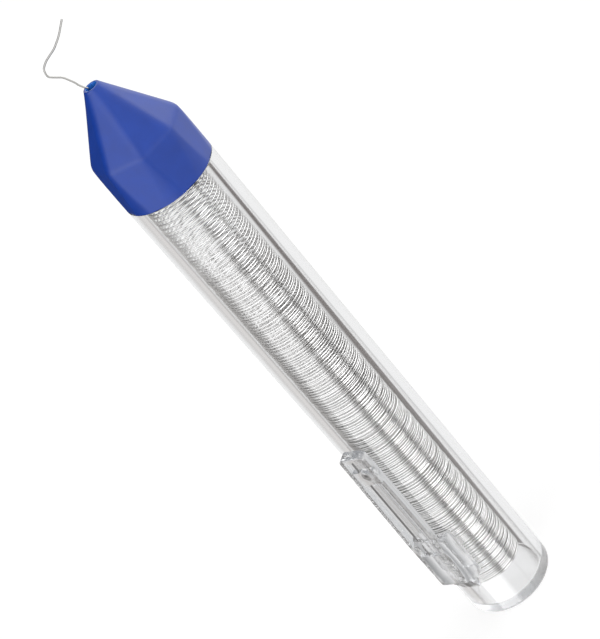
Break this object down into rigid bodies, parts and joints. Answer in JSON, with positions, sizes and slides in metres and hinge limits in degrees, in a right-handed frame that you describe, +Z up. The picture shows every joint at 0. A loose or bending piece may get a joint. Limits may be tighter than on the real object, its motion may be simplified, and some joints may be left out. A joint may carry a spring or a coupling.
{
  "type": "wire dispenser tube",
  "caption": "Clear pocket tube with a side clip that holds a coil of fine wire and feeds it out of a faceted blue nozzle cap.",
  "frame": {"origin": "centre of the tube's flat base", "axes": "+Z up the tube towards the nozzle, +X out through the pocket clip"},
  "size_m": [0.0186, 0.0162, 0.1325],
  "materials": {
    "clear_plastic": "clear polished plastic",
    "blue_plastic": "satin moulded plastic",
    "wire": "bright drawn wire"
  },
  "bodies": {
    "tube": {"tube": "clear_plastic", "wire_coil": "wire"},
    "clip": {"clip_arm": "clear_plastic"},
    "cap": {"cap": "blue_plastic"},
    "drawn_wire": {"wire_tail": "wire"}
  },
  "joints": [
    {"name": "clip_flex", "type": "hinge", "parent": "tube", "child": "clip", "pos_m": [0.00965, 0, 0.024], "axis": [0, 1, 0], "range_deg": [0, 7], "stiffness_Nm_per_rad": 0.25},
    {"name": "cap_pull", "type": "slide", "parent": "tube", "child": "cap", "axis": [0, 0, 1], "range_m": [0, 0.012]},
    {"name": "wire_feed", "type": "slide", "parent": "cap", "child": "drawn_wire", "axis": [0, 0, 1], "range_m": [0, 0.01]}
  ]
}
